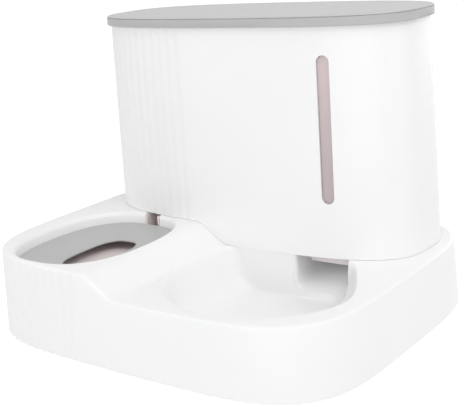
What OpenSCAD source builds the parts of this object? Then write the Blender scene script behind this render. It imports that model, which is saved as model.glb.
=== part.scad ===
// Gravity feeder and waterer for cats and small dogs. A two-level base has an oval water well on
// the left and a food bowl on the right. The oval tower behind them holds a water bottle and a
// food bin under one lid. Millimetres, +Z up, the bowls face -Y and the water is on the -X side.
// The origin is on the floor under the middle of the base.

/* [Base] */
// width of the base at its foot, the widest part of the product
base_w = 350; // [320:1:380]
// depth of the base at its foot
base_d = 294; // [270:1:320]
// how square the base is in plan: 2 is an ellipse, higher is boxier
base_square = 4.5; // [3:0.1:6]
// how far each side leans in from the foot to the deck
base_draft = 2.7; // [1:0.1:4]
// wall of the base moulding
base_wall = 2.6; // [2:0.1:3.5]
// height of the lower deck, round the food bowl
deck_low = 57.7; // [50:0.1:66]
// height of the raised deck, round the water well
deck_high = 75.5; // [68:0.1:84]
// middle of the step between the two decks, from the centre plane
step_x = -20; // [-26:0.5:-14]
// run of the S-shaped step
step_run = 36; // [28:1:40]
// radius of the outer edge of the deck
deck_edge_r = 3.2; // [1.5:0.1:5]

/* [Flutes] */
// width of one flute on the left ends of the base and the tower
flute_pitch = 10.6; // [8:0.1:14]
// depth of the flutes
flute_depth = 1.1; // [0.4:0.1:2]
// where the flutes stop
flute_end_x = -44; // [-60:1:-38]

/* [Water side] */
// middle of the water well, left and right
well_x = -92.6; // [-98:0.1:-88]
// middle of the water well, front and back
well_y = -64.5; // [-70:0.1:-60]
// width of the well opening
well_w = 111; // [100:1:116]
// length of the well opening, front to back
well_l = 141; // [130:1:146]
// how square the well is in plan
well_square = 2.5; // [2:0.1:3.5]
// inside floor of the well, below the water tray
well_floor_z = 48; // [42:0.5:50]
// inside floor of the channel and of the cup under the bottle
recess_floor_z = 30; // [24:0.5:36]
// width of the channel from the well to the bottle, seen as a notch under the tower
channel_w = 18; // [16:0.5:30]
// how far the channel stands to the right of the middle of the well
channel_shift = 3; // [0:0.5:6]
// radius of the round end of the recess, under the bottle
cup_r = 31; // [28:0.5:34]
// how far behind the centre the bottle neck stands
neck_y = 66; // [60:0.5:72]
// gap between the tray and the base
tray_gap = 0.7; // [0.3:0.1:1.5]
// wall of the water tray
tray_wall = 1.8; // [1.4:0.1:2.5]
// outer edge of the splash ring, below the raised deck
ring_drop = 9.5; // [7:0.5:12]
// dish of the splash ring, from its edge to its hole
ring_dish = 6.2; // [3:0.1:8]
// width of the hole in the splash ring
hole_w = 38; // [30:1:46]
// length of the hole in the splash ring
hole_l = 74; // [60:1:80]

/* [Food side] */
// middle of the food bowl, left and right
bowl_x = 75; // [70:0.5:80]
// middle of the food bowl, front and back
bowl_y = -57; // [-62:0.5:-52]
// width of the bowl at its rim
bowl_w = 160; // [150:1:164]
// from the middle of the bowl to the front of its rim
bowl_front = 73.5; // [68:0.5:78]
// inside floor of the bowl
bowl_floor_z = 20.5; // [16:0.5:28]
// direction that the slanted right side of the bowl faces, degrees from the right
bowl_slant = 29.7; // [24:0.1:36]
// from the middle of the bowl to its slanted right side
bowl_slant_reach = 71.3; // [66:0.1:76]
// left side of the chute
chute_left = 65; // [58:0.5:68]
// right side of the chute
chute_right = 113; // [108:0.5:120]
// front lip of the ramp, front and back
ramp_front = 6.5; // [4:0.5:9]
// height of the front lip of the ramp
ramp_lip_z = 26.5; // [23:0.5:32]
// slope of the ramp, degrees
ramp_slope = 30; // [25:1:40]

/* [Tower] */
// width of the tower where it meets the deck
tower_w = 314; // [290:1:330]
// depth of the tower where it meets the deck
tower_d = 127.2; // [116:0.5:140]
// how square the tower is in plan
tower_square = 3.07; // [2.5:0.01:4]
// how far each end of the tower leans in by the top
tower_lean_x = 4.9; // [2:0.1:8]
// how far the front and the back lean in by the top
tower_lean_y = 2.9; // [1:0.1:5]
// middle of the tower, left and right
tower_x = 1.4; // [-3:0.1:5]
// middle of the tower, front and back
tower_y = 67.8; // [60:0.1:72]
// height of the lower edge of the lid
lid_z = 245.1; // [220:0.1:270]
// wall of the tower
tower_wall = 2.8; // [2.2:0.1:3.5]
// shadow gap between the tower and the deck
tower_gap = 0.3; // [0.1:0.1:1]
// middle of the window slot, left and right
window_x = 96.7; // [90:0.1:104]
// width of the window slot
window_w = 10.8; // [8:0.1:14]
// lower end of the window slot
window_low = 103.4; // [96:0.1:112]
// upper end of the window slot
window_high = 222.6; // [212:0.1:230]

/* [Lid] */
// how far the lid stands out past the tower
lid_overhang = 3.1; // [2:0.1:5]
// height of the lid's rim
lid_h = 8.4; // [6:0.1:12]
// height of the fine groove round the rim, from the lower edge of the lid
lid_groove_h = 6.9; // [5:0.1:7.4]
// depth of the groove
lid_groove_d = 0.8; // [0.4:0.1:1.2]

/* [Valve] */
// radius of the plunger's guide stem
stem_r = 2.4; // [2:0.05:3]
// running clearance round the guide stem
stem_gap = 0.06; // [0.02:0.01:0.1]
// mean radius of the valve spring
spring_r = 4.6; // [4:0.1:6]
// turns of the valve spring
spring_turns = 5; // [3:1:7]

/* [Hidden] */
skirt_z = 1.5;
seat = 0.1;
deck_rise = deck_high - deck_low;
tower_rise = lid_z - deck_low;
tower_top_z = lid_z + 2.6;
lean = [tower_lean_x, tower_lean_y];

// An outline is a centre, half-widths to the right and left, half-depths to the back and front,
// and one squareness for each quarter, counted round from the back right. A fifth entry flattens
// one side: the direction that it faces and how far out it is.
base_plan = [[0, 0], [base_w, base_w] / 2, [base_d, base_d] / 2,
             [base_square, base_square, base_square, base_square]];
tower_plan = [[tower_x, tower_y], [tower_w, tower_w] / 2, [tower_d, tower_d] / 2,
              [tower_square, tower_square, tower_square, tower_square]];
well_plan = [[well_x, well_y], [well_w, well_w] / 2, [well_l, well_l] / 2,
             [well_square, well_square, well_square, well_square]];
hole_plan = [[well_x, well_y + 2], [hole_w, hole_w] / 2, [hole_l, hole_l] / 2, [3, 3, 3, 3]];
bowl_plan = [[bowl_x, bowl_y], [bowl_w, bowl_w] / 2, [105, bowl_front], [2, 3.5, 1.95, 1.95],
             [bowl_slant, bowl_slant_reach]];

// Point of an outline at angle t, drawn in by d from each half-width.
function on_plan(o, t, d = [0, 0]) =
    let (cx = cos(t), sy = sin(t), n = o[3][floor((t % 360) / 90)],
         a = o[1][cx < 0 ? 1 : 0] - d.x, b = o[2][sy < 0 ? 1 : 0] - d.y,
         r = pow(pow(abs(cx) / a, n) + pow(abs(sy) / b, n), -1 / n),
         side = o[4] == undef ? 0 : max(0, cos(t - o[4].x)) * r / (o[4].y - d.x))
    o[0] + r * pow(1 + pow(side, 14), -1 / 14) * [cx, sy];

function spread(from, to, count) = [for (i = [0:count - 1]) from + (to - from) * i / count];
function mix(a, b, f) = a + (b - a) * f;
// the lower of two heights or places, rounded over where they cross
function soft_min(a, b, r) = min(a, b) - pow(max(0, r - abs(a - b)), 2) / (4 * r);
function s_curve(u) = let (v = max(0, min(1, u))) v * v * (3 - 2 * v);
function deck_z(x) = deck_low + deck_rise * s_curve((step_x + step_run / 2 - x) / step_run);

// Length along the back half of an outline against angle, and the reverse.
function arcs(o) =
    let (p = [for (t = [0:180]) on_plan(o, t)])
    [for (s = 0, i = 0; i <= 180; s = s + norm(p[min(i + 1, 180)] - p[i]), i = i + 1) [s, i]];
function arc_at_x(o, table, x) =
    lookup(-x, [for (e = table) [-on_plan(o, e[1]).x, e[0]]]);

// Stations round an outline, closer together where it bends.
function even(o, count) =
    let (w = (o[1][0] + o[2][0]) / 80,
         p = [for (i = [-1:121]) on_plan(o, (i * 3 + 360) % 360)],
         v = [for (i = [0:121]) p[i + 1] - p[i]],
         bend = [for (i = [0:120]) asin(abs(cross(v[i], v[i + 1])) / norm(v[i]) / norm(v[i + 1]))],
         table = [for (s = 0, i = 0; i <= 120;
                       s = s + norm(v[i + 1]) + w * (bend[i] + (i < 120 ? bend[i + 1] : 0)) / 2, i = i + 1)
                     [s, i * 3]])
    [for (s = spread(0, table[120][0], count)) lookup(s, table)];

// Stations round an outline as [angle, flute depth]: coarse on the smooth right, close together on
// the step, four to a flute on the left, and the same front and back.
function fluted_stations(o, coarse) =
    let (table = arcs(o), half = table[180][0],
         s_step = arc_at_x(o, table, step_x + step_run / 2 + 3), s_flute = arc_at_x(o, table, flute_end_x),
         flutes = round((half - s_flute) / flute_pitch), n_right = ceil(s_step / coarse),
         s = concat(spread(0, s_step, n_right), spread(s_step, s_flute, 11),
                    spread(s_flute, half, 4 * flutes), [half]),
         first = n_right + 11,
         h = [for (i = [0:len(s) - 1])
                 [lookup(s[i], table), i < first ? 0 : flute_depth * (1 - cos((i - first) * 90)) / 2]])
    concat(h, [for (i = [len(h) - 2:-1:1]) [360 - h[i][0], h[i][1]]]);

base_stations = fluted_stations(base_plan, 8);
tower_stations = fluted_stations(tower_plan, 9);

// Faces between two rings of n points. A ring is closed by strips from front to back, and by one
// flat face at its right and left ends.
function band(n, k, m) =
    [for (i = [0:n - 1]) let (j = (i + 1) % n, a = k * n, b = m * n)
        each [[a + i, b + i, b + j], [a + i, b + j, a + j]]];
function reversed(v) = [for (i = [len(v) - 1:-1:0]) v[i]];
function closing(n, k, upper) =
    let (o = k * n, half = n / 2, m = floor(n / 8),
         right = [for (i = [0:2 * m]) o + (n + m - i) % n], left = [for (i = [0:2 * m]) o + half + m - i])
    concat(upper ? [right, left] : [reversed(right), reversed(left)],
           [for (i = [m:half - m - 1]) let (a = o + i, b = a + 1, c = o + n - i - 1, d = o + n - i)
               each upper ? [[d, c, b], [d, b, a]] : [[a, b, c], [a, c, d]]]);
function flat(rings) = [for (r = rings) each r];

// Solid through a stack of rings that starts and ends closed.
module skin(rings) {
    n = len(rings[0]);
    last = len(rings) - 1;
    polyhedron(flat(rings), concat(closing(n, 0, false), closing(n, last, true),
                                   [for (k = [0:last - 1]) each band(n, k, k + 1)]));
}

// Solid whose last ring joins back to its first: up the outside and down the inside.
module sleeve(rings) {
    n = len(rings[0]);
    m = len(rings);
    polyhedron(flat(rings), [for (k = [0:m - 1]) each band(n, k, (k + 1) % m)]);
}

// Level ring on an outline.
function ring(o, stations, d, z) =
    [for (t = stations) let (p = on_plan(o, t, [d, d])) [p.x, p.y, z]];

// Ring that keeps its height above or below the deck.
function deck_ring(o, stations, d, dz, fluted = 0) =
    [for (s = stations) let (in = d + fluted * s[1], p = on_plan(o, s[0], [in, in]))
        [p.x, p.y, deck_z(p.x) + dz]];

// Ring on the leaning wall of the tower, at a height or following the deck.
function tower_ring(stations, d, z, on_deck = false, fluted = 0) =
    [for (s = stations)
        let (foot = on_plan(tower_plan, s[0]), h = on_deck ? deck_z(foot.x) + z : z,
             in = [d, d] + fluted * [s[1], s[1]] + lean_at(h),
             p = on_plan(tower_plan, s[0], in))
        [p.x, p.y, on_deck ? deck_z(p.x) + z : z]];

// How far the tower leans in by a height.
function lean_at(z) = lean * (z - deck_low) / tower_rise;

// Front of the tower at a given place across it, at the deck or at a height.
function tower_front(x, z = deck_low) =
    let (d = lean_at(z), u = min(1, abs(x - tower_x) / (tower_w / 2 - d.x)))
    tower_y - (tower_d / 2 - d.y) * pow(1 - pow(u, tower_square), 1 / tower_square);

// Base

plain_stations = [for (t = even(tower_plan, 44)) [t, 0]];

// One moulding wall: down the inside from the underside of the deck, and up the outside.
module base_skin() {
    rolls = [0, 35, 65, 90];
    inside = base_wall + flute_depth * 0.4;
    plain = [for (s = base_stations) [s[0], 0]];
    skin(concat(
        [deck_ring(base_plan, plain, base_draft + inside, -base_wall)],
        [for (d = [inside, 0])
            [for (s = base_stations)
                let (in = d > 0 ? d : s[1], p = on_plan(base_plan, s[0], [in, in])) [p.x, p.y, skirt_z]]],
        [for (roll = rolls)
            deck_ring(base_plan, base_stations, base_draft + deck_edge_r * (1 - cos(roll)),
                      -deck_edge_r * (1 - sin(roll)), 1 - roll / 90)]));
}

// The bowl is cut off at the back by the front of the tower. Each level is drawn in from the rim
// by d, and less so at the steep back wall.
bowl_turn = spread(0, 360, 60);
// rounding of the corners between the back wall and the sides of the bowl
bowl_corner = 24;
function bowl_ring(d, z, grow = 0, on_deck = false) =
    [for (t = bowl_turn)
        let (p = on_plan(bowl_plan, t, [d - grow, d - grow]),
             back = tower_front(p.x) + 1.2 - max(0, d) * 0.12 + grow)
        [p.x, soft_min(p.y, back, bowl_corner), on_deck ? deck_z(p.x) + z : z]];
// inside profile of the bowl: how far in, and how high above the floor or the rim
bowl_levels = [[22.5, 0], [18.5, 0.7], [15, 2.6], [11.6, 6], [7.6, 12], [4.2, 19.5]];
rim_levels = [[0, -4], [0.6, -1.9], [2, -0.5], [3.6, 0.8]];

module bowl_hollow() {
    skin(concat([for (l = bowl_levels) bowl_ring(l[0], bowl_floor_z + l[1])],
                [for (l = rim_levels) bowl_ring(-l[0], l[1], 0, true)]));
}

// how far the bowl's outside draws in at its floor and at its bend, and how high the bend is
bowl_foot_in = 19;
bowl_bend_in = 9;
bowl_bend_h = 6;
module bowl_shell() {
    skin([bowl_ring(bowl_foot_in, bowl_floor_z - base_wall, base_wall),
          bowl_ring(bowl_bend_in, bowl_floor_z + bowl_bend_h, base_wall),
          bowl_ring(0, deck_low - base_wall / 2, base_wall)]);
}

well_turn = even(well_plan, 60);
module well_2d(grow) {
    polygon([for (t = well_turn) on_plan(well_plan, t, [-grow, -grow])]);
}

module channel_2d(grow) {
    channel_start = well_y + well_l / 2 - 12;
    translate([well_x + channel_shift - channel_w / 2 - grow, channel_start - grow])
        square([channel_w + 2 * grow, neck_y - channel_start + grow]);
    translate([well_x, neck_y]) circle(cup_r + grow, $fn = 96);
}

// The well and the deeper channel, grown sideways, from dz above their floors up to a height.
module well_and_channel(grow, dz, top) {
    translate([0, 0, well_floor_z + dz]) linear_extrude(top - well_floor_z - dz) well_2d(grow);
    translate([0, 0, recess_floor_z + dz]) linear_extrude(top - recess_floor_z - dz) channel_2d(grow);
}

module well_rim() {
    skin([for (l = rim_levels) ring(well_plan, well_turn, -l[0], deck_high + l[1])]);
}

// Cross-section of the chute at one place along it: a trough with rounded corners, open above.
function trough(y, z, grow) =
    let (l = chute_left - grow, r = chute_right + grow, c = 7 + grow, top = deck_high + 12 - grow * 8,
         right = concat([[r, top]], [for (a = [0:22.5:90]) [r - c + c * cos(a), z + c - c * sin(a)]]))
    [for (p = concat(right, [for (i = [len(right) - 1:-1:0]) [l + r - right[i].x, right[i].y]]))
        [p.x, y, p.y]];

function ramp_z(y) = ramp_lip_z + max(0, y - ramp_front) * tan(ramp_slope);
ramp_end = ramp_front + (deck_low - ramp_lip_z - 1) / tan(ramp_slope);
// rounding of the sides of the chute into the back wall of the bowl
chute_round = 3;

module loft(rings) {
    n = len(rings[0]);
    last = len(rings) - 1;
    polyhedron(flat(rings), concat(
        [[for (i = [0:n - 1]) i]], [[for (i = [n - 1:-1:0]) last * n + i]],
        [for (k = [0:last - 1]) for (i = [0:n - 1]) let (j = (i + 1) % n, a = k * n, b = a + n)
            each [[a + i, b + i, b + j], [a + i, b + j, a + j]]]));
}

module ramp_hollow() {
    loft(concat([trough(-3, ramp_lip_z - 2.4, chute_round)],
                [for (a = [0:30:90]) let (y = ramp_front + chute_round * (1 - cos(a)))
                    trough(y, ramp_z(y), chute_round * (1 - sin(a)))],
                [trough(ramp_end, ramp_z(ramp_end), 0)]));
}

module ramp_shell() {
    intersection() {
        loft([trough(ramp_front + 2, ramp_lip_z - 1.2 - base_wall, base_wall),
              trough(ramp_end + base_wall, ramp_z(ramp_end) - base_wall, base_wall)]);
        translate([0, -base_d / 2, 0]) cube([base_w / 2, base_d, deck_low - base_wall / 2]);
    }
}

// Rib on the deck that the tower drops over.
module tower_locator() {
    inner = tower_wall + 2.6;
    outer = tower_wall + 0.5;
    sleeve([for (r = [[outer, -1.2], [outer, 8], [inner, 8], [inner, -1.2]])
        tower_ring(plain_stations, r[0], r[1], true)]);
}

foot_r = 9;
foot_turn = 40;
foot_inset = 12.2;
foot_place = on_plan(base_plan, foot_turn, [foot_inset, foot_inset]);
foot_peg_r = 2.5;
boss_r = foot_r + 2.6;
boss_h = 9;

module at_feet() {
    for (sx = [-1, 1], sy = [-1, 1]) translate([sx * foot_place.x, sy * foot_place.y, 0]) children();
}

module base() color([0.93, 0.93, 0.93]) {
    difference() {
        union() {
            base_skin();
            bowl_shell();
            ramp_shell();
            well_and_channel(base_wall, -base_wall, deck_high - base_wall / 2);
            tower_locator();
            at_feet() translate([0, 0, skirt_z]) cylinder(r = boss_r, h = boss_h, $fn = 64);
        }
        bowl_hollow();
        ramp_hollow();
        well_and_channel(0, 0, deck_high * 2);
        well_rim();
        at_feet() {
            cylinder(r = foot_r + 0.3, h = 3, $fn = 64);
            cylinder(r = foot_peg_r + 0.08, h = 8, $fn = 48);
        }
    }
}

module foot(sx, sy) color([0.5, 0.5, 0.5])
    translate([sx * foot_place.x, sy * foot_place.y, 0]) rotate_extrude($fn = 64)
        polygon([[0, 0], [foot_r - 0.8, 0], [foot_r, 0.8], [foot_r, 3 - seat], [foot_peg_r, 3 - seat],
                 [foot_peg_r, 6.6], [foot_peg_r - 0.8, 7.4], [0, 7.4]]);

// Tower

module tower_body() {
    sleeve([tower_ring(tower_stations, 0, tower_gap, true, 1),
            tower_ring(tower_stations, 0, lid_z - 1.5, false, 1),
            tower_ring(tower_stations, 0.6, tower_top_z),
            tower_ring(tower_stations, tower_wall, tower_top_z),
            tower_ring(tower_stations, tower_wall, tower_gap, true)]);
}

window_z = (window_low + window_high) / 2;
window_l = window_high - window_low;
window_yaw = atan2(tower_front(window_x + 5, window_z) - tower_front(window_x - 5, window_z), 10);
window_tilt = atan2(tower_front(window_x, window_high) - tower_front(window_x, window_low), window_l);

// Frame of the window: origin on the face of the tower, X across, Y inwards, Z along the slot.
module at_window() {
    translate([window_x, tower_front(window_x, window_z), window_z])
        rotate([-window_tilt, 0, window_yaw]) children();
}

module slot(w, l, depth) {
    rotate([-90, 0, 0]) linear_extrude(depth) {
        square([w, l - w], center = true);
        for (s = [-1, 1]) translate([0, s * (l - w) / 2]) circle(w / 2, $fn = 64);
    }
}

module tower_shell() color([0.94, 0.94, 0.94]) difference() {
    tower_body();
    at_window() translate([0, -4, 0]) slot(window_w, window_l, 12);
}

lens_t = 1.1;
lens_seat = 0.3;
// the lens's flange past the slot, and its boss in the slot: how much smaller and how deep
lens_flange = 2.5;
lens_boss_gap = 0.5;
lens_boss_in = 0.7;
module window_lens() color([0.72, 0.62, 0.62, 0.7]) at_window() {
    translate([0, tower_wall + lens_seat, 0])
        slot(window_w + 2 * lens_flange, window_l + 2 * lens_flange, lens_t);
    translate([0, tower_wall - lens_boss_in, 0])
        slot(window_w - 2 * lens_boss_gap, window_l - 2 * lens_boss_gap,
             lens_seat + lens_boss_in + lens_t / 2);
}

// Lid

lid_turn = even(tower_plan, 56);
function lid_ring(d, z) =
    [for (t = lid_turn) let (p = on_plan(tower_plan, t, lean + [d, d])) [p.x, p.y, z]];

plug_gap = 0.5;
seal_t = 1.2;
lid_top_z = lid_z + lid_h;
groove_z = lid_z + lid_groove_h;
ceiling_z = lid_top_z - 2.2;
lip_z = lid_z - 4.6;

module lid() color([0.72, 0.72, 0.72]) {
    rest_z = tower_top_z + seat;
    plug = tower_wall + plug_gap;
    skin([lid_ring(plug + seal_t + 2, ceiling_z),
          lid_ring(plug + seal_t + 2, lip_z), lid_ring(plug, lip_z), lid_ring(plug, lip_z + 1.3),
          lid_ring(plug + seal_t, lip_z + 1.3), lid_ring(plug + seal_t, rest_z),
          lid_ring(-0.7, rest_z), lid_ring(-0.7, lid_z),
          lid_ring(0.3 - lid_overhang, lid_z), lid_ring(-lid_overhang, lid_z + 0.5),
          lid_ring(0.1 - lid_overhang, groove_z - 0.4),
          lid_ring(0.1 - lid_overhang + lid_groove_d, groove_z),
          lid_ring(0.2 - lid_overhang, groove_z + 0.4),
          lid_ring(0.6 - lid_overhang, lid_top_z - 0.45),
          lid_ring(1.4 - lid_overhang, lid_top_z - 0.1), lid_ring(9, lid_top_z + 0.3)]);
}

module lid_seal() color([0.6, 0.6, 0.6]) {
    inside = tower_wall + plug_gap + seal_t - seat;
    outside = tower_wall + 0.2;
    low = lip_z + 1.3 + seat;
    sleeve([lid_ring(outside + 0.4, low), lid_ring(outside, low + 2.5), lid_ring(inside, low + 2.5),
            lid_ring(inside, low)]);
}

// Containers

split = 42;
side_gap = 5.2;
bin_wall = 1.7;
// room between the lid's plug and the bin
bin_top_gap = 3.5;
bin_top_z = lip_z - bin_top_gap;
hopper_z = 130;
outlet_x = (chute_left + chute_right) / 2;
collar_w = chute_right - chute_left - 4;
collar_front = 20;
collar_l = ramp_end - collar_front - 4;
outlet_y = collar_front + collar_l / 2;
collar_drop = 8;
// ledges that carry the bin on the deck, right and left of the chute
ledge_w = 5;
ledge_t = 2;
throat_z = deck_low + 8.3;
end_reach = tower_w / 2 - tower_lean_x - split - side_gap;
half_depth = tower_d / 2 - tower_lean_y - side_gap - 0.6;
bin_plan = [[tower_x + split, tower_y], [end_reach, split - 3], [half_depth, half_depth], [2.7, 5, 5, 2.7]];
bottle_plan = [[tower_x - split, tower_y], [split - 3, end_reach], [half_depth, half_depth], [5, 2.7, 2.7, 5]];
collar_plan = [[outlet_x, outlet_y], [collar_w, collar_w] / 2, [collar_l, collar_l] / 2, [6, 6, 6, 6]];
bin_turn = even(bin_plan, 44);

function bin_ring(f, d, z) =
    [for (t = bin_turn)
        let (p = mix(on_plan(bin_plan, t, [d, d]), on_plan(collar_plan, t, [d, d]), f)) [p.x, p.y, z]];
function ledge_ring(z) = [for (t = bin_turn) let (p = on_plan(collar_plan, t, [-ledge_w, -0.1])) [p.x, p.y, z]];
// lower edge of the collar: level in the mouth of the chute, and above the ramp behind it
function collar_ring(d) =
    [for (t = bin_turn) let (p = on_plan(collar_plan, t, [d, d]))
        [p.x, p.y, max(deck_low - collar_drop, min(ramp_z(p.y) + 3.5, deck_low))]];

module food_bin() color([0.62, 0.45, 0.42, 0.6]) {
    w = bin_wall;
    rest = deck_low + seat;
    sleeve([collar_ring(0), bin_ring(1, 0, rest), ledge_ring(rest), ledge_ring(rest + ledge_t),
            bin_ring(1, 0, rest + ledge_t), bin_ring(1, 0, throat_z), bin_ring(0.12, 0, hopper_z - 14),
            bin_ring(0, 1, hopper_z), bin_ring(0, 0, bin_top_z),
            bin_ring(0, w, bin_top_z), bin_ring(0, 1 + w, hopper_z), bin_ring(0.12, w, hopper_z - 14),
            bin_ring(1, w, throat_z), collar_ring(w)]);
}

bottle_wall = 1.8;
bottle_base_z = deck_high + seat;
// room between the lid's plug and the bottle
bottle_top_gap = 6.5;
bottle_top_z = lip_z - bottle_top_gap;
// heights of the rounded foot and shoulder of the bottle
heel_h = 8;
shoulder_h = 14;
// how far in the bottle's flat end starts
bottle_crown_in = 12;
neck_r = 20;
neck_bore_r = 17.4;
water_depth = 7.1;
cap_z = well_floor_z + seat + tray_wall + water_depth;
cap_plate = 3;
gasket_t = 1.5;
neck_end_z = cap_z + cap_plate + gasket_t + 2 * seat;
bottle_turn = even(bottle_plan, 44);
function bottle_ring(d, z) = ring(bottle_plan, bottle_turn, d, z);

module water_bottle() color([0.62, 0.5, 0.48, 0.6]) {
    w = bottle_wall;
    difference() {
        union() {
            skin([bottle_ring(9, bottle_base_z), bottle_ring(4, bottle_base_z + 2.5),
                  bottle_ring(2, bottle_base_z + heel_h), bottle_ring(0.6, bottle_top_z - shoulder_h),
                  bottle_ring(2, bottle_top_z - 5), bottle_ring(6, bottle_top_z - 1),
                  bottle_ring(bottle_crown_in, bottle_top_z)]);
            // neck with two thread beads
            translate([well_x, neck_y, neck_end_z]) rotate_extrude($fn = 96) {
                h = bottle_base_z - neck_end_z + 1;
                polygon(concat([[0, 0], [neck_r, 0]],
                               [for (z = [3.5, 7.5]) each [[neck_r, z - 0.8], [neck_r + 0.7, z - 0.2],
                                                           [neck_r + 0.7, z + 0.2], [neck_r, z + 0.8]]],
                               [[neck_r, h], [0, h]]));
            }
        }
        union() {
            skin([bottle_ring(10.5, bottle_base_z + w), bottle_ring(5.5, bottle_base_z + w + 2),
                  bottle_ring(2 + w, bottle_base_z + heel_h + w),
                  bottle_ring(0.6 + w, bottle_top_z - shoulder_h),
                  bottle_ring(2 + w, bottle_top_z - 6), bottle_ring(6 + w, bottle_top_z - 1 - w),
                  bottle_ring(bottle_crown_in + w, bottle_top_z - w)]);
            translate([well_x, neck_y, neck_end_z - 1])
                cylinder(r = neck_bore_r, h = bottle_base_z - neck_end_z + 6, $fn = 96);
        }
    }
}

// Valve in the bottle cap. The plunger stands on the post of the tray, which holds the seal off
// the plate so that water flows; the spring closes it when the bottle is lifted out.

cap_r = 24;
cap_h = bottle_base_z - cap_z - 0.6;
mouth_r = 7;
lift = 2;
seal_h = 1.5;
head_h = 2.5;
head_r = 9.4;
plate_z = cap_z + cap_plate;
head_z = plate_z + lift + seal_h;
spring_h = 9;
guide_z = head_z + head_h + spring_h;
guide_t = 3;
post_top_z = cap_z - 6;

module at_neck() {
    translate([well_x, neck_y, 0]) children();
}

module bottle_cap() color([0.85, 0.85, 0.85]) at_neck() {
    difference() {
        translate([0, 0, cap_z]) linear_extrude(cap_h) difference() {
            circle(cap_r, $fn = 96);
            for (a = [0:15:345]) rotate(a) translate([cap_r + 0.5, 0]) circle(1.2, $fn = 24);
        }
        translate([0, 0, plate_z]) cylinder(r = neck_r + 0.9, h = cap_h, $fn = 96);
        translate([0, 0, cap_z - 1]) cylinder(r = mouth_r, h = cap_plate + 2, $fn = 64);
    }
    // guide for the plunger on three legs
    difference() {
        union() {
            translate([0, 0, guide_z]) cylinder(r = 14, h = guide_t, $fn = 64);
            for (a = [90:120:330]) rotate(a) translate([10.8, -2, plate_z - 0.5])
                cube([3, 4, guide_z - plate_z + 1]);
        }
        translate([0, 0, guide_z - 1]) cylinder(r = stem_r + stem_gap, h = guide_t + 2, $fn = 64);
        for (a = [30:120:270]) rotate(a) translate([9, 0, guide_z - 1]) cylinder(r = 3, h = guide_t + 2, $fn = 48);
    }
}

module cap_gasket() color([0.75, 0.75, 0.72]) at_neck()
    translate([0, 0, plate_z + seat]) difference() {
        cylinder(r = neck_r + 0.4, h = gasket_t, $fn = 96);
        translate([0, 0, -1]) cylinder(r = neck_bore_r - 0.6, h = gasket_t + 2, $fn = 96);
    }

module valve_plunger() color([0.9, 0.9, 0.9]) at_neck() rotate_extrude($fn = 64)
    polygon([[0, post_top_z + 0.05], [3.2, post_top_z + 0.05], [3.6, post_top_z + 1], [3.6, head_z - seal_h],
             [3.6, head_z], [head_r, head_z], [head_r, head_z + head_h - 0.6], [head_r - 0.6, head_z + head_h],
             [stem_r, head_z + head_h], [stem_r, guide_z + guide_t + 2.5], [stem_r - 0.6, guide_z + guide_t + 3.2],
             [0, guide_z + guide_t + 3.2]]);

module valve_seal() color([0.25, 0.25, 0.25]) at_neck() rotate_extrude($fn = 64)
    polygon([[3.65, head_z - 0.05], [head_r - 0.3, head_z - 0.05], [head_r - 0.3, head_z - seal_h + 0.4],
             [head_r - 0.8, head_z - seal_h], [4.1, head_z - seal_h], [3.65, head_z - seal_h + 0.4]]);

wire_r = 0.5;
module valve_spring() color([0.7, 0.7, 0.72]) {
    steps = 12;
    sides = 5;
    count = spring_turns * steps;
    rise = spring_h - 2 * wire_r - 2 * 0.05;
    low = head_z + head_h + wire_r + 0.05;
    rings = [for (i = [0:count])
        [for (k = [0:sides - 1]) let (a = i * 360 / steps, r = spring_r + wire_r * cos(k * 72))
            [well_x + r * cos(a), neck_y + r * sin(a),
             low + rise * s_ends(i / count) + wire_r * sin(k * 72)]]];
    n = sides;
    polyhedron(flat(rings), concat(
        [[for (i = [n - 1:-1:0]) i]], [[for (i = [0:n - 1]) count * n + i]],
        [for (k = [0:count - 1]) for (i = [0:n - 1]) let (j = (i + 1) % n, a = k * n, b = a + n)
            each [[a + i, b + j, b + i], [a + i, a + j, b + j]]]));
}
// pitch of the coil: slower in the first and last turns, as ground ends are
function s_ends(f) = f + sin(360 * f) * -0.06;

// Tray and ring

tray_floor_z = recess_floor_z + seat;
tray_inside_z = tray_floor_z + tray_wall;
ring_edge_z = deck_high - ring_drop;
ring_t = 2;
tray_rim_z = ring_edge_z - ring_t - seat;
tray_high_z = deck_high - 1;

module water_tray() color([0.5, 0.36, 0.32, 0.75]) {
    g = -tray_gap;
    w = g - tray_wall;
    difference() {
        union() {
            well_and_channel(g, seat, tray_rim_z);
            translate([0, 0, tray_floor_z]) linear_extrude(tray_high_z - tray_floor_z) difference() {
                channel_2d(g);
                well_2d(g + 0.4);
            }
        }
        well_and_channel(w, seat + tray_wall, deck_high * 2);
    }
    at_neck() translate([0, 0, tray_inside_z - 0.5]) difference() {
        cylinder(r = 4.5, h = post_top_z - tray_inside_z + 0.5, $fn = 48);
        for (a = [0, 90]) rotate(a) translate([-6, -0.8, post_top_z - tray_inside_z - 5])
            cube([12, 1.6, 10]);
    }
}

ring_turn = even(well_plan, 52);
// point of the splash ring a share f of the way from its edge to its hole
function splash_pt(t, f, d) =
    mix(on_plan(well_plan, t, [tray_gap + d, tray_gap + d]), on_plan(hole_plan, t, [d, d]), f);
function splash_ring_at(f, z, d = 0) = [for (t = ring_turn) let (p = splash_pt(t, f, d)) [p.x, p.y, z]];

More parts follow.
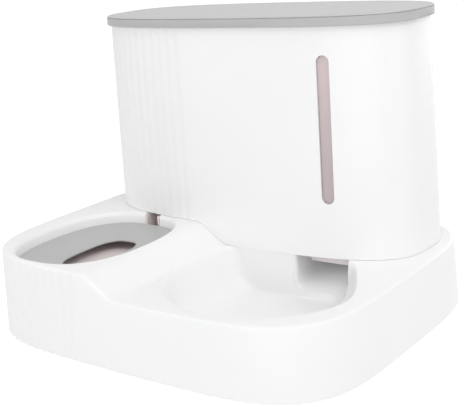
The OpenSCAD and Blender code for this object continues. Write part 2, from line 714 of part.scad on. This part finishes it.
module splash_ring() color([0.74, 0.75, 0.74]) {
    e = ring_edge_z;
    low = e - ring_dish;
    sleeve([splash_ring_at(0, e - ring_t), splash_ring_at(0, e - 0.5), splash_ring_at(0, e, 0.6),
            splash_ring_at(0.07, e - 0.5), splash_ring_at(0.5, mix(e, low, 0.55)),
            splash_ring_at(0.95, low), splash_ring_at(1, low - 0.7), splash_ring_at(1, low - 1.7),
            splash_ring_at(0.96, low - ring_t),
            splash_ring_at(0.5, mix(e, low, 0.55) - ring_t), splash_ring_at(0.09, e - ring_t - 0.4),
            splash_ring_at(0.06, e - ring_t)]);
}

base();
tower_shell();
window_lens();
lid();
lid_seal();
food_bin();
water_bottle();
bottle_cap();
cap_gasket();
valve_plunger();
valve_seal();
valve_spring();
water_tray();
splash_ring();
foot(-1, -1);  // foot_front_left
foot(1, -1);  // foot_front_right
foot(-1, 1);  // foot_rear_left
foot(1, 1);  // foot_rear_right
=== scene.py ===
"""Studio scene of a two-in-one gravity feeder and waterer, in metres, in the part's own frame."""

import math
from collections import namedtuple

import bpy
from mathutils import Matrix, Vector


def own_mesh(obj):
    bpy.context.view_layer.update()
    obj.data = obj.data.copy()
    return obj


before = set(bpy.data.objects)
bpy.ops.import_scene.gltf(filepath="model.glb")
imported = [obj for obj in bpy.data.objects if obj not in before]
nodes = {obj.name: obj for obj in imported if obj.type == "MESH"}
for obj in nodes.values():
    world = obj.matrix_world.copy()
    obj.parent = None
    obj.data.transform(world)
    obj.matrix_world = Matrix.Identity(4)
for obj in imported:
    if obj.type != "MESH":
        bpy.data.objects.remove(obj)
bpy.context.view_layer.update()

# Camera, as the photograph's perspective gives it
CAMERA_PLACE = Vector((0.4978, -0.6437, 0.3205))
CAMERA_YAW = math.radians(37.28)
CAMERA_DOWN = math.radians(15.40)
CAMERA_ROLL = math.radians(-4.39)
CAMERA_LENS = 76.7
CAMERA_SENSOR = 36
CAMERA_CLIP = (0.01, 50)

# Lamps: name, place, width and height, watts. All of them aim at one point inside the object.
LAMPS = [
    ("left", (-1.3, -1.3, 0.6), (1.2, 1.0), 5.4),
    ("right", (1.7, 0.1, 0.5), (1.2, 0.9), 1.7),
    ("front", (0.5, -1.6, 0.3), (1.6, 0.5), 4.2),
    ("over", (0.8, -0.4, 1.45), (1.5, 1.2), 11),
    ("back", (0.4, 1.8, 0.45), (1.4, 0.8), 4.5),
]
LAMP_AIM = Vector((0, 0, 0.1))

# Sky: the light it gives, and how bright it looks to the camera
SKY_LIGHT = 0.58
SKY_SHOWN = 1.0
WHITE_LIGHT = (1, 1, 1, 1)

# Floor: half its side, the paper that lights the object, and the paper and glow that are seen
FLOOR_HALF = 6.0
FLOOR_PAPER = (0.8, 0.8, 0.8, 1)
FLOOR_SHOWN = (0.5, 0.5, 0.5, 1)
FLOOR_GLOW = 0.8

# Enough bounces for light to reach the foot of the white bowl and of the chute
DIFFUSE_BOUNCES = 10

# Smooth shading: points closer than this are one, and edges sharper than this stay sharp
MERGE_DISTANCE = 2e-6
SHARP_ANGLE = math.radians(32)

# Surface of moulded plastic: noises as (size, detail), and what they change
TONE_NOISE = (0.06, 2)
GLOSS_NOISE = (0.011, 3)
GLOSS_NOISE_RANGE = (0.3, 0.7)
GLOSS_SPREAD = 0.04
GRAIN_DETAIL = 3
GRAIN_HEIGHT = 0.00004
RIPPLE_NOISE = (0.02, 1)
RIPPLE_STRENGTH = 0.25
RIPPLE_HEIGHT = 0.0001


def add_node(tree, kind, **settings):
    """A new node, with each setting put on the input of that name or else on the node."""
    node = tree.nodes.new(kind)
    for key, value in settings.items():
        if key in node.inputs:
            node.inputs[key].default_value = value
        else:
            setattr(node, key, value)
    return node


# Shading


def smooth_group():
    """Geometry nodes that merge doubled points and shade smooth except over sharp edges."""
    tree = bpy.data.node_groups.new("smooth_by_angle", "GeometryNodeTree")
    for way in ("INPUT", "OUTPUT"):
        tree.interface.new_socket("Geometry", in_out=way, socket_type="NodeSocketGeometry")
    start = tree.nodes.new("NodeGroupInput")
    end = tree.nodes.new("NodeGroupOutput")
    merge = add_node(tree, "GeometryNodeMergeByDistance", Distance=MERGE_DISTANCE)
    faces = add_node(tree, "GeometryNodeSetShadeSmooth", domain="FACE")
    edges = add_node(tree, "GeometryNodeSetShadeSmooth", domain="EDGE")
    edges.inputs["Shade Smooth"].default_value = False
    angle = tree.nodes.new("GeometryNodeInputMeshEdgeAngle")
    sharp = add_node(tree, "FunctionNodeCompare", data_type="FLOAT", operation="GREATER_THAN")
    sharp.inputs[1].default_value = SHARP_ANGLE
    link = tree.links.new
    link(start.outputs[0], merge.inputs["Geometry"])
    link(merge.outputs[0], faces.inputs["Geometry"])
    link(faces.outputs[0], edges.inputs["Geometry"])
    link(angle.outputs["Unsigned Angle"], sharp.inputs[0])
    link(sharp.outputs[0], edges.inputs["Selection"])
    link(edges.outputs[0], end.inputs[0])
    return tree


# Materials

# Painted shading, in place of light and shade: a colour goes from dark to light times itself
# while the height ("height"), or how far the surface faces up ("facing"), goes from low to high.
Fade = namedtuple("Fade", "kind low high dark light")


def moulded(
    name, color, roughness, grain=0.4, grain_size=0.0006, tone=0.012, painted_shading=None, **shader
):
    """Moulded plastic, rubber or wire: a fine grain, a faint long ripple, a slight change of tone.

    grain is the strength of the fine grain and tone how far the colour strays. What is left over
    goes to the shader's inputs of that name.
    """
    material = bpy.data.materials.new(name)
    material.use_nodes = True
    tree = material.node_tree
    link = tree.links.new
    bsdf = tree.nodes["Principled BSDF"]
    for key, value in shader.items():
        bsdf.inputs[key.replace("_", " ")].default_value = value
    place = tree.nodes.new("ShaderNodeTexCoord")

    def noise(size, detail):
        node = add_node(tree, "ShaderNodeTexNoise", Scale=1 / size, Detail=detail)
        link(place.outputs["Object"], node.inputs["Vector"])
        return node.outputs["Fac"]

    def ramp(source, low, high, first, last):
        node = tree.nodes.new("ShaderNodeMapRange")
        limits = {"From Min": low, "From Max": high, "To Min": first, "To Max": last}
        for key, value in limits.items():
            node.inputs[key].default_value = value
        link(source, node.inputs["Value"])
        return node.outputs["Result"]

    shade = add_node(tree, "ShaderNodeMix", data_type="RGBA")
    shade.inputs["A"].default_value = [c * (1 - tone) for c in color] + [1]
    shade.inputs["B"].default_value = [min(1, c * (1 + tone)) for c in color] + [1]
    link(noise(*TONE_NOISE), shade.inputs["Factor"])
    base_color = shade.outputs["Result"]
    # painted shading: the colour is scaled darker or lighter by height, or by how far the surface
    # faces up, to stand in for light and shade
    if painted_shading:
        axes = tree.nodes.new("ShaderNodeSeparateXYZ")
        link(place.outputs["Object" if painted_shading.kind == "height" else "Normal"], axes.inputs[0])
        factor = ramp(axes.outputs["Z"], painted_shading.low, painted_shading.high, painted_shading.dark, painted_shading.light)
        scaled = add_node(tree, "ShaderNodeVectorMath", operation="SCALE")
        link(base_color, scaled.inputs[0])
        link(factor, scaled.inputs["Scale"])
        base_color = scaled.outputs[0]
    link(base_color, bsdf.inputs["Base Color"])
    rough = (roughness - GLOSS_SPREAD, roughness + GLOSS_SPREAD)
    link(ramp(noise(*GLOSS_NOISE), *GLOSS_NOISE_RANGE, *rough), bsdf.inputs["Roughness"])

    fine = add_node(tree, "ShaderNodeBump", Strength=grain, Distance=GRAIN_HEIGHT)
    link(noise(grain_size, GRAIN_DETAIL), fine.inputs["Height"])
    ripple = add_node(tree, "ShaderNodeBump", Strength=RIPPLE_STRENGTH, Distance=RIPPLE_HEIGHT)
    link(noise(*RIPPLE_NOISE), ripple.inputs["Height"])
    link(fine.outputs["Normal"], ripple.inputs["Normal"])
    link(ripple.outputs["Normal"], bsdf.inputs["Normal"])
    return material


white = moulded("white_shell", (0.875, 0.878, 0.876), 0.36)
# painted shade: the lid's rim and sides are coloured darker than its top, where less light falls
# on them
grey_lid = moulded(
    "grey_lid", (0.535, 0.54, 0.535), 0.5, grain=0.7,
    painted_shading=Fade("facing", low=0.2, high=0.9, dark=0.86, light=1.0),
)
grey_ring = moulded("grey_ring", (0.47, 0.475, 0.47), 0.42, grain=0.6)
# painted light and shade: the window is coloured lighter at its top and darker towards its bottom,
# for the light inside and the reflections on it
lens = moulded(
    "window_tint", (0.8, 0.68, 0.69), 0.16, grain=0.1, Transmission_Weight=0.35,
    painted_shading=Fade("height", low=0.11, high=0.22, dark=0.86, light=1.08),
)
tint = moulded("clear_tint", (0.9, 0.83, 0.84), 0.14, grain=0.1, Transmission_Weight=0.15)
bottle = moulded("bottle_tint", (0.7, 0.62, 0.61), 0.12, grain=0.1, Transmission_Weight=0.5)
brown = moulded("brown_tray", (0.96, 0.87, 0.87), 0.2, grain=0.1, Transmission_Weight=0.1)
silicone = moulded("silicone", (0.6, 0.6, 0.57), 0.55, tone=0.03)
rubber = moulded("rubber", (0.035, 0.035, 0.038), 0.7, grain=0.9, tone=0.1)
steel = moulded(
    "spring_wire", (0.55, 0.55, 0.57), 0.28, grain=0.5, grain_size=0.0002, Metallic=1.0
)

FINISHES = {
    "base": white,
    "tower_shell": white,
    "lid": grey_lid,
    "splash_ring": grey_ring,
    "window_lens": lens,
    "food_bin": tint,
    "water_bottle": bottle,
    "water_tray": brown,
    "bottle_cap": white,
    "valve_plunger": white,
    "valve_seal": rubber,
    "valve_spring": steel,
    "lid_seal": silicone,
    "cap_gasket": silicone,
    "foot_front_left": rubber,
    "foot_front_right": rubber,
    "foot_rear_left": rubber,
    "foot_rear_right": rubber,
}

smoothing = smooth_group()
for name, node in nodes.items():
    node.data.materials.clear()
    node.data.materials.append(FINISHES[name])
    modifier = node.modifiers.new("smooth", "NODES")
    modifier.node_group = smoothing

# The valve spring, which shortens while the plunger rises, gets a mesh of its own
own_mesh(nodes["valve_spring"])


# Floor, sky and lamps


def only_shown(tree):
    """1 for what the camera sees straight, in gloss or through a clear wall, and 0 for light."""
    path = tree.nodes.new("ShaderNodeLightPath")
    total = path.outputs["Is Camera Ray"]
    for ray in ("Is Glossy Ray", "Is Transmission Ray"):
        larger = add_node(tree, "ShaderNodeMath", operation="MAXIMUM")
        tree.links.new(total, larger.inputs[0])
        tree.links.new(path.outputs[ray], larger.inputs[1])
        total = larger.outputs[0]
    return total


def make_floor():
    """White paper that keeps the object's shadow and looks brighter than it lights the object."""
    mesh = bpy.data.meshes.new("floor")
    far = FLOOR_HALF
    corners = [(-far, -far, 0), (far, -far, 0), (far, far, 0), (-far, far, 0)]
    mesh.from_pydata(corners, [], [(0, 1, 2, 3)])
    floor = bpy.data.objects.new("floor", mesh)
    bpy.context.scene.collection.objects.link(floor)
    material = bpy.data.materials.new("floor_paper")
    material.use_nodes = True
    tree = material.node_tree
    tree.nodes.clear()
    link = tree.links.new
    out = tree.nodes.new("ShaderNodeOutputMaterial")
    shown = add_node(tree, "ShaderNodeBsdfDiffuse", Color=FLOOR_SHOWN)
    glow = add_node(tree, "ShaderNodeEmission", Strength=FLOOR_GLOW)
    both = tree.nodes.new("ShaderNodeAddShader")
    paper = add_node(tree, "ShaderNodeBsdfDiffuse", Color=FLOOR_PAPER)
    mix = tree.nodes.new("ShaderNodeMixShader")
    link(shown.outputs[0], both.inputs[0])
    link(glow.outputs[0], both.inputs[1])
    link(only_shown(tree), mix.inputs["Fac"])
    link(paper.outputs[0], mix.inputs[1])
    link(both.outputs[0], mix.inputs[2])
    link(mix.outputs[0], out.inputs["Surface"])
    mesh.materials.append(material)


def make_sky():
    """A white sky that looks brighter than the light it gives."""
    world = bpy.data.worlds.new("sky")
    world.use_nodes = True
    tree = world.node_tree
    tree.nodes.clear()
    link = tree.links.new
    out = tree.nodes.new("ShaderNodeOutputWorld")
    light = add_node(tree, "ShaderNodeBackground", Strength=SKY_LIGHT, Color=WHITE_LIGHT)
    shown = add_node(tree, "ShaderNodeBackground", Strength=SKY_SHOWN, Color=WHITE_LIGHT)
    mix = tree.nodes.new("ShaderNodeMixShader")
    link(only_shown(tree), mix.inputs["Fac"])
    link(light.outputs[0], mix.inputs[1])
    link(shown.outputs[0], mix.inputs[2])
    link(mix.outputs[0], out.inputs["Surface"])
    bpy.context.scene.world = world


def softbox(name, place, size, watts):
    data = bpy.data.lights.new(name, "AREA")
    data.shape = "RECTANGLE"
    data.size, data.size_y = size
    data.energy = watts
    lamp = bpy.data.objects.new(name, data)
    lamp.location = place
    aim = LAMP_AIM - lamp.location
    lamp.rotation_mode = "QUATERNION"
    lamp.rotation_quaternion = aim.to_track_quat("-Z", "Y")
    bpy.context.scene.collection.objects.link(lamp)


def make_camera():
    data = bpy.data.cameras.new("camera")
    data.lens = CAMERA_LENS
    data.sensor_width = CAMERA_SENSOR
    data.clip_start, data.clip_end = CAMERA_CLIP
    camera = bpy.data.objects.new("camera", data)
    turn = (
        Matrix.Rotation(CAMERA_YAW, 3, "Z")
        @ Matrix.Rotation(math.radians(90) - CAMERA_DOWN, 3, "X")
        @ Matrix.Rotation(CAMERA_ROLL, 3, "Z")
    )
    camera.location = CAMERA_PLACE
    camera.rotation_mode = "QUATERNION"
    camera.rotation_quaternion = turn.to_quaternion()
    bpy.context.scene.collection.objects.link(camera)
    bpy.context.scene.camera = camera


make_camera()
make_floor()
make_sky()
for lamp in LAMPS:
    softbox(*lamp)
bpy.context.scene.view_settings.view_transform = "Standard"
bpy.context.scene.cycles.diffuse_bounces = DIFFUSE_BOUNCES
